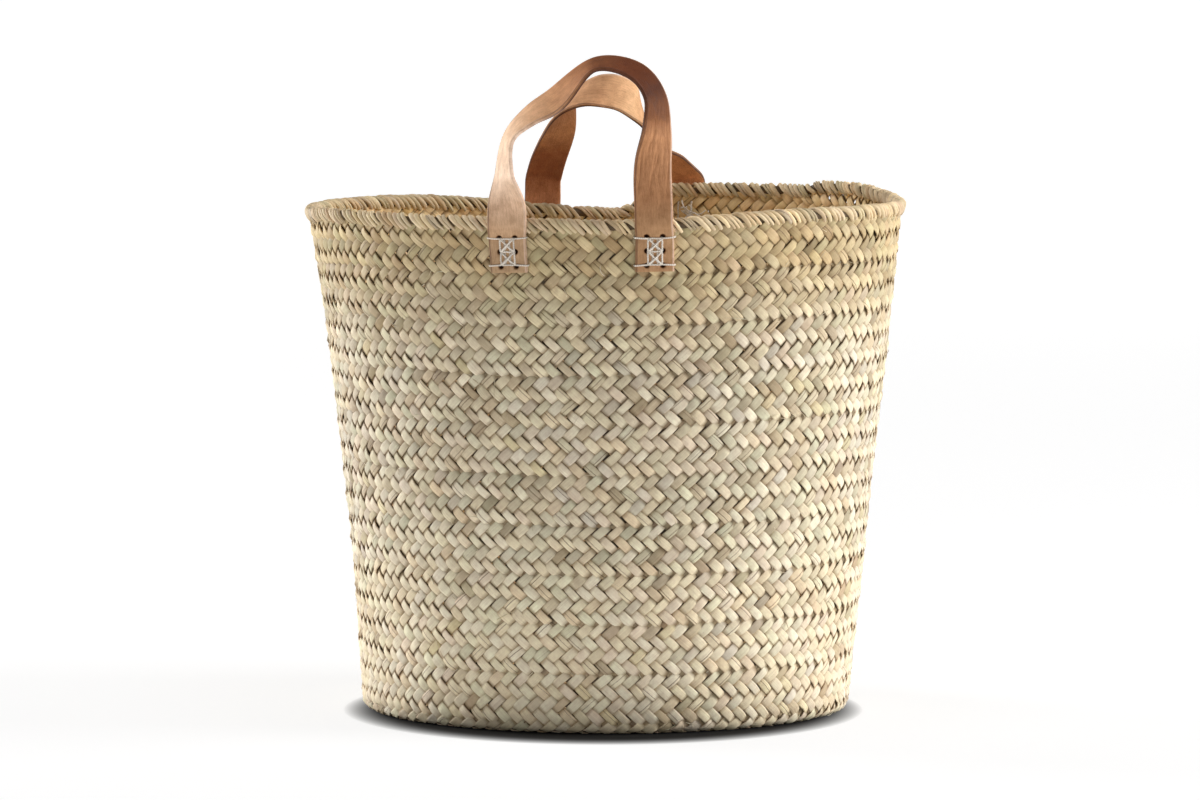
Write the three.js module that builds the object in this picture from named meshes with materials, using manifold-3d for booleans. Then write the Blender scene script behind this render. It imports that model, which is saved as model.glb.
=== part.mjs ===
// French market basket: a plaited palm strip wound from the middle of the base up to the rim,
// its turns sewn edge to edge, a bound rim, and two leather straps sewn on as handles.
// Millimetres, +Z up, +X to the right, the front towards -Y.
// The origin is under the middle of the base, on the surface that the basket stands on.
import * as THREE from 'three';
import { mergeVertices } from 'three/addons/utils/BufferGeometryUtils.js';
import Module from 'manifold-3d';

const wasm = await Module();
wasm.setup();

// Driving dimensions of the basket's body
const rimHalfWidth = 213.5;
const rimHalfDepth = 183;
const baseHalfWidth = 175;
const baseHalfDepth = 150;
const plaitTop = 360.5;
const heelRadius = 14;
const bellyDraw = 0.07;
const middleShift = 2.5;
const rightRimRise = 2.5;
const shoulderRise = 3;

// Driving dimensions of the plaited strip and of the cord that sews its turns together
const stripWidth = 35.3;
const plaitThickness = 4;
const turnCount = 14;
const wallTurnCount = 10;
const climbStart = 80;
const climbEnd = 280;
const stripEndHeight = 1.2;
const startHalfWidth = 35.3;
const startDepthShare = 0.2915;
const heelLengths = ['back_left', 'front_left', 'front_right', 'back_right'];
const seamNotchDepth = 1.6;
const seamNotchShare = 0.25;
const stationsPerTurn = 36;
const rowsPerStrip = 4;

// Driving dimensions of the rim binding
const bindingOverhang = 2.5;
const bindingDrop = 5.5;
const bindingRoof = 3.5;

// Driving dimensions of the leather straps
const strapWidth = 27;
const strapThickness = 2.8;
const strapMargin = 5.5;
const flexRoom = 0.5;
const notchAngle = 40;
const strapSteps = 30;

// Driving dimensions of the sewing in each strap end
const stitchPitch = 9.3;
const stitchColumnGap = 10;
const stitchDrop = 13.2;
const threadRadius = 0.6;
const threadSides = 4;
const holeRadius = 1.1;
const holeSides = 6;
const knotRadius = 2.2;
const facetDepth = 0.9;

// Clearances between pieces that touch on the real basket
const gap = 0.3;

// Corners nearer than this are one corner, and directions along the wall are taken over this angle
const weldDistance = 1e-5;
const nudgeDegrees = 1;

// Where each strap crosses its flex line, and the route of its loop above that line.
// A route point is [across, height above the flex line, lean outwards, turn of the face in degrees].
const frontHandle = {
  name: 'front_handle',
  side: -1,
  leftX: -55,
  rightX: 47,
  leanDegrees: 0,
  route: [
    [-58.2, 26, 0, 60],
    [-54.7, 53.7, 0, 72],
    [-39, 69.3, 0, 62],
    [-23.4, 78.6, 0, 54],
    [6, 105, 0, 74],
    [35.6, 99.9, 0, 67],
    [49.2, 82.4, 0, 63],
    [50.4, 57.7, 0, 49],
    [46.9, 31.6, 0, 21],
  ],
};
const backHandle = {
  name: 'back_handle',
  side: 1,
  leftX: -59.5,
  rightX: 48,
  leanDegrees: 48,
  route: [
    [-54.5, 22.9, 0, 7],
    [-46.5, 51.6, 0, 21],
    [-37.8, 88.7, 0, 63],
    [-21.3, 103.1, 0, 83],
    [-1.4, 103.4, 0, 110],
    [10.5, 95.5, 0, 108],
    [18.8, 78.7, 0, 81],
    [24, 54.6, 0, 65],
    [35.5, 26.2, 0, 13],
  ],
};

// Plan angles run from the front, positive towards +X
const radians = THREE.MathUtils.degToRad;
const halfTurn = Math.PI;
const fullTurn = 2 * Math.PI;
const heelArc = (heelRadius * Math.PI) / 2;
const topAlong = plaitTop - heelRadius;

// How much of the strip lies inside the heel, and how the base's width and depth are shared out to it.
// The start keeps its own half width, and has a share of a turn's width as its half depth.
const baseRun = turnCount * stripWidth - topAlong - heelArc;
const widthShare = (baseHalfWidth - heelRadius - startHalfWidth) / baseRun;
const depthShare = (baseHalfDepth - heelRadius) / (baseRun + startDepthShare * stripWidth);

// Finishes
const palm = (name, color) => {
  return new THREE.MeshStandardMaterial({ name, color, roughness: 0.85, metalness: 0 });
};
const palmStrip = palm('palm_plait', 0xcdbb8f);
const palmCord = palm('palm_cord', 0xb79c69);
const palmBinding = palm('palm_binding', 0xc2a877);
const leather = new THREE.MeshStandardMaterial({
  name: 'leather', color: 0xb98562, roughness: 0.6, metalness: 0,
});
const waxedThread = new THREE.MeshStandardMaterial({
  name: 'waxed_thread', color: 0xe9e2da, roughness: 0.7, metalness: 0,
});

// The basket's meridian: a distance along the plait, from the top of the heel, gives the inset and
// the height. Below zero it goes round the heel and in under the base.
function meridian(along, inward) {
  if (along >= 0) return { inset: inward, rise: heelRadius + along };
  if (along > -heelArc) {
    const turn = -along / heelRadius;
    const radius = heelRadius - inward;
    return { inset: heelRadius - radius * Math.cos(turn), rise: heelRadius - radius * Math.sin(turn) };
  }
  return { inset: heelRadius - along - heelArc, rise: inward };
}

// Half width and half depth of the outer face at a height
function halfSizes(rise) {
  const up = rise / plaitTop;
  const spread = up - bellyDraw * Math.sin(Math.PI * up);
  return {
    width: baseHalfWidth + (rimHalfWidth - baseHalfWidth) * spread,
    depth: baseHalfDepth + (rimHalfDepth - baseHalfDepth) * spread,
    shift: middleShift * Math.sin(Math.PI * up),
  };
}

// A point of the body at a plan angle, a distance along the meridian and a depth in from outside
function place(angle, along, inward) {
  const { inset, rise } = meridian(along, inward);
  const { width, depth, shift } = halfSizes(rise);
  const around = Math.min(inset, heelRadius);
  const under = Math.max(inset - heelRadius, 0);
  return new THREE.Vector3(
    (width - around - under * widthShare) * Math.sin(angle) + shift,
    -(depth - around - under * depthShare) * Math.cos(angle),
    rise,
  );
}

// How much of the strip's climb is done at a winding angle, in turns. The front stays level.
function climb(winding) {
  const turns = Math.floor(winding / fullTurn);
  const degrees = THREE.MathUtils.radToDeg(winding - turns * fullTurn);
  return turns + THREE.MathUtils.smoothstep(degrees, climbStart, climbEnd);
}

// The rim's gentle waves, which the rows follow more and more towards the top
function rimWave(angle) {
  return rightRimRise * Math.sin(angle) + shoulderRise * Math.sin(2 * angle) ** 2;
}

function follow(angle, level) {
  const share = THREE.MathUtils.clamp(level / topAlong, 0, 1) ** 2;
  return level + rimWave(angle) * share;
}

// The strip's upper edge at a winding angle, and its lower edge one turn earlier
const upperLevel = (winding) => topAlong + stripWidth * climb(winding);
const lowerLevel = (winding) => upperLevel(winding - fullTurn);

// Level of the plait's top edge: the last turn is cut level with the rim, and its end tapers away
function topLevel(winding) {
  if (winding >= halfTurn) return lowerLevel(winding) + stripEndHeight;
  return Math.min(upperLevel(winding), topAlong);
}

// Station angles of one turn, from the back round the front to the back again
const stationAngles = Array.from({ length: stationsPerTurn + 1 }, (_, k) => {
  return -halfTurn + (fullTurn * k) / stationsPerTurn;
});
const isFirst = (k) => k === 0;
const isLast = (k) => k === stationsPerTurn;

// Joins rings of points into one closed solid, with or without end caps
function loft(rings, closed) {
  const size = rings[0].length;
  const positions = rings.flat().flatMap((p) => [p.x, p.y, p.z]);
  const indices = [];
  const spans = closed ? rings.length : rings.length - 1;
  for (let i = 0; i < spans; i += 1) {
    const here = i * size;
    const next = ((i + 1) % rings.length) * size;
    for (let j = 0; j < size; j += 1) {
      const k = (j + 1) % size;
      indices.push(here + j, next + j, next + k, here + j, next + k, here + k);
    }
  }
  if (!closed) {
    const flat = THREE.ShapeUtils.triangulateShape(flatten(rings[0]), []);
    const last = (rings.length - 1) * size;
    for (const [a, b, c] of flat) {
      indices.push(a, b, c, last + a, last + c, last + b);
    }
  }
  const geometry = new THREE.BufferGeometry();
  geometry.setAttribute('position', new THREE.Float32BufferAttribute(positions, 3));
  geometry.setIndex(indices);
  return outward(geometry);
}

// A ring of points laid out in its own plane, so that it can be cut into triangles
function flatten(ring) {
  const normal = new THREE.Vector3();
  for (let i = 0; i < ring.length; i += 1) {
    const a = ring[i];
    const b = ring[(i + 1) % ring.length];
    normal.x += (a.y - b.y) * (a.z + b.z);
    normal.y += (a.z - b.z) * (a.x + b.x);
    normal.z += (a.x - b.x) * (a.y + b.y);
  }
  const turn = new THREE.Quaternion().setFromUnitVectors(normal.normalize(), new THREE.Vector3(0, 0, 1));
  return ring.map((p) => {
    const q = p.clone().applyQuaternion(turn);
    return new THREE.Vector2(q.x, q.y);
  });
}

// Turns every face over if the solid came out inside out
function outward(geometry) {
  const index = geometry.index.array;
  const at = geometry.attributes.position;
  const [a, b, c] = [new THREE.Vector3(), new THREE.Vector3(), new THREE.Vector3()];
  let volume = 0;
  for (let i = 0; i < index.length; i += 3) {
    a.fromBufferAttribute(at, index[i]);
    b.fromBufferAttribute(at, index[i + 1]);
    c.fromBufferAttribute(at, index[i + 2]);
    volume += a.dot(b.cross(c));
  }
  if (volume < 0) {
    for (let i = 0; i < index.length; i += 3) {
      [index[i + 1], index[i + 2]] = [index[i + 2], index[i + 1]];
    }
  }
  return geometry;
}

// Solids to join and cut
function toManifold(geometry) {
  const bare = geometry.clone();
  bare.deleteAttribute('normal');
  bare.deleteAttribute('uv');
  const merged = mergeVertices(bare, weldDistance);
  return new wasm.Manifold(new wasm.Mesh({
    numProp: 3,
    vertProperties: new Float32Array(merged.attributes.position.array),
    triVerts: new Uint32Array(merged.index.array),
  }));
}

function toGeometry(manifold) {
  const mesh = manifold.getMesh();
  const geometry = new THREE.BufferGeometry();
  geometry.setAttribute('position', new THREE.BufferAttribute(mesh.vertProperties, 3));
  geometry.setIndex(new THREE.BufferAttribute(mesh.triVerts, 1));
  return geometry;
}

// A turn of the strip, or a length of one between two stations. Its edges are notched for the seam
// cord, except the rim's own edge.
function stripTurn(turn, start = 0, end = stationsPerTurn) {
  const isTop = turn === 0;
  const spans = stationAngles.slice(start, end + 1).map((angle) => {
    const winding = angle - turn * fullTurn;
    const high = isTop ? topLevel(winding) : upperLevel(winding) - gap / 2;
    return { angle, low: lowerLevel(winding) + gap / 2, high };
  });
  const meetsHeel = spans.some(({ low, high }) => low < 0 && high > -heelArc);
  const steps = meetsHeel ? rowsPerStrip : 1;
  return loft(spans.map(({ angle, low, high }, k) => {
    const ahead = k === 0 ? gap / 2 : k === end - start ? -gap / 2 : 0;
    return stripSection(angle, ahead, low, high, isTop, steps);
  }), false);
}

// A cross-section of the strip, moved a little ahead or back along it
function stripSection(angle, ahead, low, high, isTop, steps) {
  const at = (level, inward) => {
    const point = place(angle, follow(angle, level), inward);
    point.x += ahead * Math.cos(angle);
    point.y += ahead * Math.sin(angle);
    return point;
  };
  const levels = Array.from({ length: steps + 1 }, (_, i) => low + ((high - low) * i) / steps);
  const notch = Math.min(seamNotchDepth, (high - low) * seamNotchShare);
  const ring = levels.map((level) => at(level, 0));
  if (!isTop) ring.push(at(high - notch, plaitThickness / 2));
  ring.push(...levels.reverse().map((level) => at(level, plaitThickness)));
  ring.push(at(low + notch, plaitThickness / 2));
  return ring;
}

// The strip's folded start, a flat oval pad in the middle of the base
function stripStart() {
  const outline = (inward, inset) => stationAngles.map((angle, k) => {
    const level = lowerLevel(angle - (turnCount - 1) * fullTurn) - gap / 2 - inset;
    const point = place(angle, level, inward);
    if (isFirst(k) || isLast(k)) point.x += gap / 2;
    return point;
  });
  const middle = plaitThickness / 2;
  return loft([outline(0, 0), outline(middle, seamNotchDepth), outline(plaitThickness, 0)], false);
}

// The cord that sews each turn to the next, lying in the notches of both edges
function seamCord() {
  const slope = seamNotchDepth / (plaitThickness / 2);
  const halfTall = seamNotchDepth + gap / 2 - gap * Math.hypot(1, slope);
  const halfDeep = halfTall / slope;
  const middle = plaitThickness / 2;
  const stationCount = turnCount * stationsPerTurn;
  const rings = Array.from({ length: stationCount }, (_, i) => {
    const winding = halfTurn - turnCount * fullTurn + (fullTurn * i) / stationsPerTurn;
    const level = lowerLevel(winding);
    const at = (rise, inward) => place(winding, follow(winding, level + rise), inward);
    return [
      at(-halfTall, middle),
      at(0, middle - halfDeep),
      at(halfTall, middle),
      at(0, middle + halfDeep),
    ];
  });
  return loft(rings, false);
}

// The binding that covers the plait's top edge, an upside-down trough right round the rim
function rimBinding() {
  const outer = -bindingOverhang;
  const inner = plaitThickness + bindingOverhang;
  const shoulder = bindingRoof / 2;
  const rings = stationAngles.slice(1).map((angle) => {
    const top = topLevel(angle);
    const at = (rise, inward) => place(angle, follow(angle, top + rise), inward);
    return [
      at(-bindingDrop, outer),
      at(gap + shoulder, outer),
      at(gap + bindingRoof, outer + shoulder),
      at(gap + bindingRoof, inner - shoulder),
      at(gap + shoulder, inner),
      at(-bindingDrop, inner),
      at(-bindingDrop, plaitThickness + gap),
      at(gap, plaitThickness + gap),
      at(gap, -gap),
      at(-bindingDrop, -gap),
    ];
  });
  return loft(rings, true);
}

// The plan angle at which a part of the wall lies at a given distance across
function angleAt(x, side, level) {
  const { width, shift } = halfSizes(heelRadius + level);
  const angle = Math.asin((x - shift) / width);
  return side < 0 ? angle : Math.sign(angle || 1) * (halfTurn - Math.abs(angle));
}

// Height of the binding's top at a distance across
function bindingTop(x, side) {
  const angle = angleAt(x, side, topAlong);
  return place(angle, follow(angle, topLevel(angle) + gap + bindingRoof), 0).z;
}

const acrossStrap = (x) => [x - strapWidth / 2, x, x + strapWidth / 2];

// Where a handle's two flex lines lie: one straight axis just above the binding and outside it
function flexAxis(handle) {
  const edges = [handle.leftX, handle.rightX].flatMap(acrossStrap);
  const tops = edges.map((x) => bindingTop(x, handle.side));
  const reaches = edges.map((x) => {
    const angle = angleAt(x, handle.side, topAlong);
    return Math.abs(place(angle, topAlong, -bindingOverhang).y);
  });
  return {
    y: handle.side * (Math.max(...reaches) + gap + strapThickness),
    z: Math.max(...tops) + flexRoom + strapThickness,
  };
}

// A strap from stations of its outer face: each has a centre, a width direction and an outward normal.
// The pull at each end draws the inner face back along the strap, for the flex notch.
function strap(stations) {
  const rings = stations.map(({ centre, wide, normal, pull }) => {
    const half = wide.clone().multiplyScalar(strapWidth / 2);
    const inner = centre.clone().addScaledVector(normal, -strapThickness);
    if (pull) inner.add(pull);
    return [
      centre.clone().sub(half),
      centre.clone().add(half),
      inner.clone().add(half),
      inner.clone().sub(half),
    ];
  });
  return loft(rings, false);
}

const notchPull = strapThickness * Math.tan(radians(notchAngle));

// The loop above the flex line, bent and twisted along its route and leaning by its angle at rest
function handleLoop(handle) {
  const axis = flexAxis(handle);
  const start = [handle.leftX, gap / 2, 0, 0];
  const end = [handle.rightX, gap / 2, 0, 0];
  const points = [start, ...handle.route, end];
  const path = new THREE.CatmullRomCurve3(points.map(([x, up, out]) => new THREE.Vector3(x, up, out)));
  const turns = new THREE.CatmullRomCurve3(points.map(([, , , turn]) => new THREE.Vector3(turn, 0, 0)));
  const lean = radians(handle.leanDegrees);
  const toWorld = ({ x, y: up, z: out }) => new THREE.Vector3(
    x,
    handle.side * (out * Math.cos(lean) - up * Math.sin(lean)),
    up * Math.cos(lean) + out * Math.sin(lean),
  );
  const upwards = new THREE.Vector3(0, 1, 0);
  const stations = Array.from({ length: strapSteps + 1 }, (_, i) => {
    const t = i / strapSteps;
    const isEnd = i === 0 || i === strapSteps;
    const tangent = path.getTangent(t).setZ(0).normalize();
    if (isEnd) tangent.set(0, i === 0 ? 1 : -1, 0);
    const turn = isEnd ? 0 : radians(turns.getPoint(t).x);
    const outside = new THREE.Vector3(-tangent.y, tangent.x, 0);
    const straight = new THREE.Vector3(0, 0, 1);
    const normal = straight.clone().multiplyScalar(Math.cos(turn)).addScaledVector(outside, Math.sin(turn));
    const wide = outside.clone().multiplyScalar(Math.cos(turn)).addScaledVector(straight, -Math.sin(turn));
    return {
      centre: toWorld(path.getPoint(t)).add(new THREE.Vector3(0, axis.y, axis.z)),
      wide: toWorld(wide),
      normal: toWorld(normal),
      pull: isEnd ? toWorld(upwards.clone().multiplyScalar(notchPull)) : null,
    };
  });
  return strap(stations);
}

// The frame of one sewn strap end on the wall: its top stitch row, and the directions across,
// down and out of the plait
function sewnFrame(handle, x) {
  const angle = angleAt(x, handle.side, topAlong);
  const rimLevel = follow(angle, topLevel(angle) + gap + bindingRoof);
  const level = rimLevel - stitchDrop;
  const wallAngle = angleAt(x, handle.side, level);
  const origin = place(wallAngle, level, 0);
  const down = place(wallAngle, level - stitchPitch, 0).sub(origin).normalize();
  const nudge = radians(nudgeDegrees);
  const along = place(wallAngle + nudge, level, 0).sub(place(wallAngle - nudge, level, 0));
  const out = new THREE.Vector3().crossVectors(down, along).normalize();
  const across = new THREE.Vector3().crossVectors(out, down);
  if (out.y * handle.side < 0) out.negate();
  return { origin, down, across, out };
}

const inFrame = (frame, u, v, n) => frame.origin.clone()
  .addScaledVector(frame.across, u)
  .addScaledVector(frame.down, v)
  .addScaledVector(frame.out, n);

// Rows and columns of the needle holes, from the top row down
const stitchRows = [0, stitchPitch, 2 * stitchPitch];
const stitchColumns = [-stitchColumnGap / 2, stitchColumnGap / 2];
const outerFace = gap + strapThickness;

// A straight many-sided rod between two points
function rod(from, to, radius, sides) {
  const length = from.distanceTo(to);
  const shape = new THREE.CylinderGeometry(radius, radius, length, sides);
  const turn = new THREE.Quaternion().setFromUnitVectors(
    new THREE.Vector3(0, 1, 0),
    to.clone().sub(from).normalize(),
  );
  shape.applyQuaternion(turn);
  const middle = from.clone().add(to).multiplyScalar(0.5);
  shape.translate(middle.x, middle.y, middle.z);
  return toManifold(shape);
}

// The needle holes of one strap end, through the leather and the plait
function needleHoles(frame) {
  const reach = plaitThickness * 2;
  const holes = stitchRows.flatMap((v) => stitchColumns.map((u) => {
    return rod(inFrame(frame, u, v, outerFace + gap), inFrame(frame, u, v, -reach), holeRadius, holeSides);
  }));
  return holes.reduce((all, hole) => all.add(hole));
}

// The fixed end of a strap: sewn flat on the wall, then up over the binding to the flex line
function strapEnd(handle, x) {
  const axis = flexAxis(handle);
  const frame = sewnFrame(handle, x);
  const wide = frame.across.clone();
  if (wide.x < 0) wide.negate();
  const flat = { wide, normal: frame.out };
  const straight = { wide: new THREE.Vector3(1, 0, 0), normal: new THREE.Vector3(0, handle.side, 0) };
  const tops = acrossStrap(x).map((edge) => bindingTop(edge, handle.side));
  const bindingFoot = Math.min(...tops) - bindingRoof - bindingDrop - 2 * gap;
  const stations = [
    { centre: inFrame(frame, 0, 2 * stitchPitch + strapMargin, outerFace), ...flat },
    { centre: inFrame(frame, 0, -2 * threadRadius, outerFace), ...flat },
    { centre: new THREE.Vector3(x, axis.y, bindingFoot), ...straight },
    {
      centre: new THREE.Vector3(x, axis.y, axis.z - gap / 2),
      pull: new THREE.Vector3(0, 0, -notchPull),
      ...straight,
    },
  ];
  return toGeometry(toManifold(strap(stations)).subtract(needleHoles(frame)));
}

// The thread of one strap end: bars and crosses outside, legs through the holes, and the tie inside
function stitching(frame) {
  const outside = outerFace + gap + threadRadius;
  const inside = -plaitThickness - gap - threadRadius - facetDepth;
  const side = strapWidth / 2 + gap + threadRadius;
  const [top, middle, bottom] = stitchRows;
  const [left, right] = stitchColumns;
  const line = (a, b) => rod(inFrame(frame, ...a), inFrame(frame, ...b), threadRadius, threadSides);
  const pieces = [
    ...[top, bottom].map((v) => line([-side, v, outside], [side, v, outside])),
    line([left, middle, outside], [right, middle, outside]),
    ...[top, middle].flatMap((v) => [
      line([left, v, outside], [right, v + stitchPitch, outside]),
      line([right, v, outside], [left, v + stitchPitch, outside]),
    ]),
    ...[top, bottom].flatMap((v) => [-side, side].map((u) => {
      return line([u, v, outside], [u, v, gap]);
    })),
    ...stitchRows.flatMap((v) => stitchColumns.map((u) => {
      return line([u, v, outside], [u, v, inside]);
    })),
    ...stitchColumns.map((u) => line([u, top, inside], [u, bottom, inside])),
  ];
  const knot = new THREE.IcosahedronGeometry(knotRadius, 0);
  const at = inFrame(frame, left, middle, inside - knotRadius / 2);
  knot.translate(at.x, at.y, at.z);
  return toGeometry(pieces.reduce((all, piece) => all.add(piece), toManifold(knot)));
}

// Assembly
const basket = new THREE.Group();
function addPiece(name, geometry, material) {
  const piece = new THREE.Mesh(geometry, material);
  piece.name = name;
  basket.add(piece);
}

// The turn that bends round the heel is made in lengths, each a quarter of the way round
function addHeelTurn(name, turn) {
  const length = stationsPerTurn / heelLengths.length;
  heelLengths.forEach((where, k) => {
    addPiece(`${name}_${where}`, stripTurn(turn, k * length, (k + 1) * length), palmStrip);
  });
}

const handles = [frontHandle, backHandle];
const ends = handles.flatMap((handle) => [
  { handle, x: handle.leftX, name: `${handle.name}_left` },
  { handle, x: handle.rightX, name: `${handle.name}_right` },
]);
const allHoles = ends.map(({ handle, x }) => needleHoles(sewnFrame(handle, x)))
  .reduce((all, holes) => all.add(holes));

addPiece('base_strip_start', stripStart(), palmStrip);
for (let turn = turnCount - 1; turn >= 0; turn -= 1) {
  const isWall = turn < wallTurnCount;
  const number = isWall ? wallTurnCount - turn : turnCount - turn;
  const name = `${isWall ? 'wall' : 'base'}_strip_turn_${String(number).padStart(2, '0')}`;
  if (turn === wallTurnCount) {
    addHeelTurn(name, turn);
    continue;
  }
  const plain = stripTurn(turn);
  const isSewnThrough = turn <= 1;
  const geometry = isSewnThrough ? toGeometry(toManifold(plain).subtract(allHoles)) : plain;
  addPiece(name, geometry, palmStrip);
}
addPiece('seam_cord', seamCord(), palmCord);
addPiece('rim_binding', rimBinding(), palmBinding);
for (const handle of handles) {
  addPiece(`${handle.name}_loop`, handleLoop(handle), leather);
}
for (const { handle, x, name } of ends) {
  addPiece(`${name}_end`, strapEnd(handle, x), leather);
  addPiece(`${name}_stitching`, stitching(sewnFrame(handle, x)), waxedThread);
}

export default basket;
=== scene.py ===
# French market basket of plaited palm, with two leather strap handles.
# Shapes are worked out in millimetres, as the solids are, and turned into metres as each mesh is made.
import math

import bpy
import numpy as np
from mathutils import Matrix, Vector


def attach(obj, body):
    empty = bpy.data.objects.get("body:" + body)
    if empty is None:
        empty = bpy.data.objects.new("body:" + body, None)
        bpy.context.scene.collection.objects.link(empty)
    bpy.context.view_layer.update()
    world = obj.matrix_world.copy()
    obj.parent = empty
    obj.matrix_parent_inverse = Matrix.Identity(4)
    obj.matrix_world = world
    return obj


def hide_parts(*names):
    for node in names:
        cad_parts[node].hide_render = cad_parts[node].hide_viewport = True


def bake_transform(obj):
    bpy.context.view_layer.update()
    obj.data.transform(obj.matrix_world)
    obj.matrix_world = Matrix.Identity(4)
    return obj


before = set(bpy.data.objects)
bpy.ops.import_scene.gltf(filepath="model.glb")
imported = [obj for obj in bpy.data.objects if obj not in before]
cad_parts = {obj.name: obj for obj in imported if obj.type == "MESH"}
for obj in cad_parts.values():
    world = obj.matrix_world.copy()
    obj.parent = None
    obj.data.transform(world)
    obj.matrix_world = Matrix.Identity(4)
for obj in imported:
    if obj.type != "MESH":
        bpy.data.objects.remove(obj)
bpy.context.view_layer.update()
random = np.random.default_rng(20)
MM = 0.001
TURN = 2 * math.pi
HALF = math.pi

# The basket's body, with the same values as the solids
RIM_HALF_WIDTH, RIM_HALF_DEPTH = 213.5, 183.0
BASE_HALF_WIDTH, BASE_HALF_DEPTH = 175.0, 150.0
PLAIT_TOP, HEEL_RADIUS = 360.5, 14.0
BELLY_DRAW, MIDDLE_SHIFT = 0.07, 2.5
RIGHT_RIM_RISE, SHOULDER_RISE = 2.5, 3.0
STRIP_WIDTH, PLAIT_THICKNESS = 35.3, 4.0
TURN_COUNT, WALL_TURN_COUNT = 14, 10
CLIMB_START, CLIMB_END = 80.0, 280.0
STRIP_END_HEIGHT = 1.2
HEEL_LENGTHS = ("back_left", "front_left", "front_right", "back_right")
TAPER_START = math.radians(170)
BINDING_OVERHANG, BINDING_ROOF = 2.5, 3.5
STRAP_WIDTH, STRAP_THICKNESS, STRAP_MARGIN = 27.0, 2.8, 5.5
FLEX_ROOM = 0.5
STITCH_PITCH, STITCH_COLUMN_GAP, STITCH_DROP = 9.3, 10.0, 13.2
THREAD_RADIUS = 0.66
GAP = 0.3
# The heel of the visual plait
TUCK_RADIUS, TUCK_START = 6.5, -7.5
TUCK_END = TUCK_START - TUCK_RADIUS * math.pi / 2
TOP_ALONG = PLAIT_TOP - HEEL_RADIUS

# Each strap: where it is sewn on, how far it leans in, the shares of its length that are creased, the shares
# over which its painted lit edge changes sides, and its centre line above the flex line as (across, up, out,
# turn), with the turn in degrees
FRONT = {
    "name": "front_handle", "side": -1, "left": -55.0, "right": 47.0, "lean": 0.0,
    "creased": (0.66, 0.92), "lit_edge_turns": (0.3, 0.42),
    "route": [
        (-58.2, 26, 0, 60), (-54.7, 53.7, 0, 72), (-39, 69.3, 0, 62), (-23.4, 78.6, 0, 54),
        (6, 105, 0, 74), (35.6, 99.9, 0, 67), (49.2, 82.4, 0, 63), (50.4, 57.7, 0, 49),
        (46.9, 31.6, 0, 21),
    ],
}
BACK = {
    "name": "back_handle", "side": 1, "left": -59.5, "right": 48.0, "lean": 48.0,
    "creased": (0.3, 0.45), "lit_edge_turns": (0.9, 1.0),
    "route": [
        (-54.5, 22.9, 0, 7), (-46.5, 51.6, 0, 21), (-37.8, 88.7, 0, 63), (-21.3, 103.1, 0, 83),
        (-1.4, 103.4, 0, 110), (10.5, 95.5, 0, 108), (18.8, 78.7, 0, 81), (24, 54.6, 0, 65),
        (35.5, 26.2, 0, 13),
    ],
}

# The plait: strands of two families, each over two and under two of the other
ROWS, STRAND_PITCH, FLOOR_CLEARANCE = 8, 9.6, 0.03
STRAND_HALF_WIDTH, STRAND_HALF_THICKNESS = 3.37, 0.8
FLOAT_RISE, STRAND_TILT, FAMILY_PROUD = 1.3, 0.15, 0.16
PAD_HALF_LENGTH, PAD_SHIFT = 70.0, 8.9
STRAND_SLANT = math.radians(42.6)
# How unevenly the strands lie: along the strip, in slant, in sway and in rise, and how they differ in section
LAY_JITTER, SLANT_JITTER, SWAY, RISE_JITTER = 0.6, 0.025, 0.34, 0.16
WIDTH_JITTER, THICKNESS_JITTER = 0.065, 0.1
STRAND_STEPS = np.array([
    -0.6, -0.3, 0, 0.4, 1, 1.6, 2, 2.4, 3, 3.6, 4, 4.4, 5, 5.6, 6, 6.4, 7, 7.6, 8, 8.3, 8.6,
])
SECTION = np.array([
    (-1, 0), (-0.93, 0.62), (-0.66, 0.88), (0, 1), (0.66, 0.88), (0.93, 0.62),
    (1, 0), (0.93, -0.62), (0.66, -0.88), (0, -1), (-0.66, -0.88), (-0.93, -0.62),
])


def smooth(value, low, high):
    share = np.clip((value - low) / (high - low), 0, 1)
    return share * share * (3 - 2 * share)


def unit(v):
    return v / np.maximum(np.linalg.norm(v, axis=-1, keepdims=True), 1e-12)


# The basket's meridian, plan and rows, as in the solids
def meridian(along, inward):
    """The plait is tucked under more tightly than the solids' heel, and meets them again in the base."""
    turn = np.clip((TUCK_START - along) / TUCK_RADIUS, 0, math.pi / 2)
    radius = TUCK_RADIUS - inward
    on_heel = (TUCK_RADIUS - radius * np.cos(turn), TUCK_RADIUS - radius * np.sin(turn))
    on_wall = (inward, HEEL_RADIUS + along)
    regained = HEEL_RADIUS * (1 - math.pi / 2) - TUCK_RADIUS - TUCK_END
    on_base = (TUCK_RADIUS + TUCK_END - along + regained * smooth(TUCK_END - along, 0, 80), inward)
    pick = [along >= TUCK_START, along > TUCK_END]
    return tuple(np.select(pick, [w, h], b) for w, h, b in zip(on_wall, on_heel, on_base))


def half_sizes(rise):
    up = rise / PLAIT_TOP
    spread = up - BELLY_DRAW * np.sin(math.pi * up)
    return (
        BASE_HALF_WIDTH + (RIM_HALF_WIDTH - BASE_HALF_WIDTH) * spread,
        BASE_HALF_DEPTH + (RIM_HALF_DEPTH - BASE_HALF_DEPTH) * spread,
        MIDDLE_SHIFT * np.sin(math.pi * up),
    )


def place(angle, along, inward):
    angle, along, inward = np.broadcast_arrays(*(np.asarray(x, float) for x in (angle, along, inward)))
    inset, rise = meridian(along, inward)
    width, depth, shift = half_sizes(rise)
    return np.stack([
        (width - inset) * np.sin(angle) + shift, -(depth - inset) * np.cos(angle), rise,
    ], -1)


def climb(winding):
    turns = np.floor(winding / TURN)
    return turns + smooth(np.degrees(winding - turns * TURN), CLIMB_START, CLIMB_END)


def rim_wave(angle):
    return RIGHT_RIM_RISE * np.sin(angle) + SHOULDER_RISE * np.sin(2 * angle) ** 2


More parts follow.
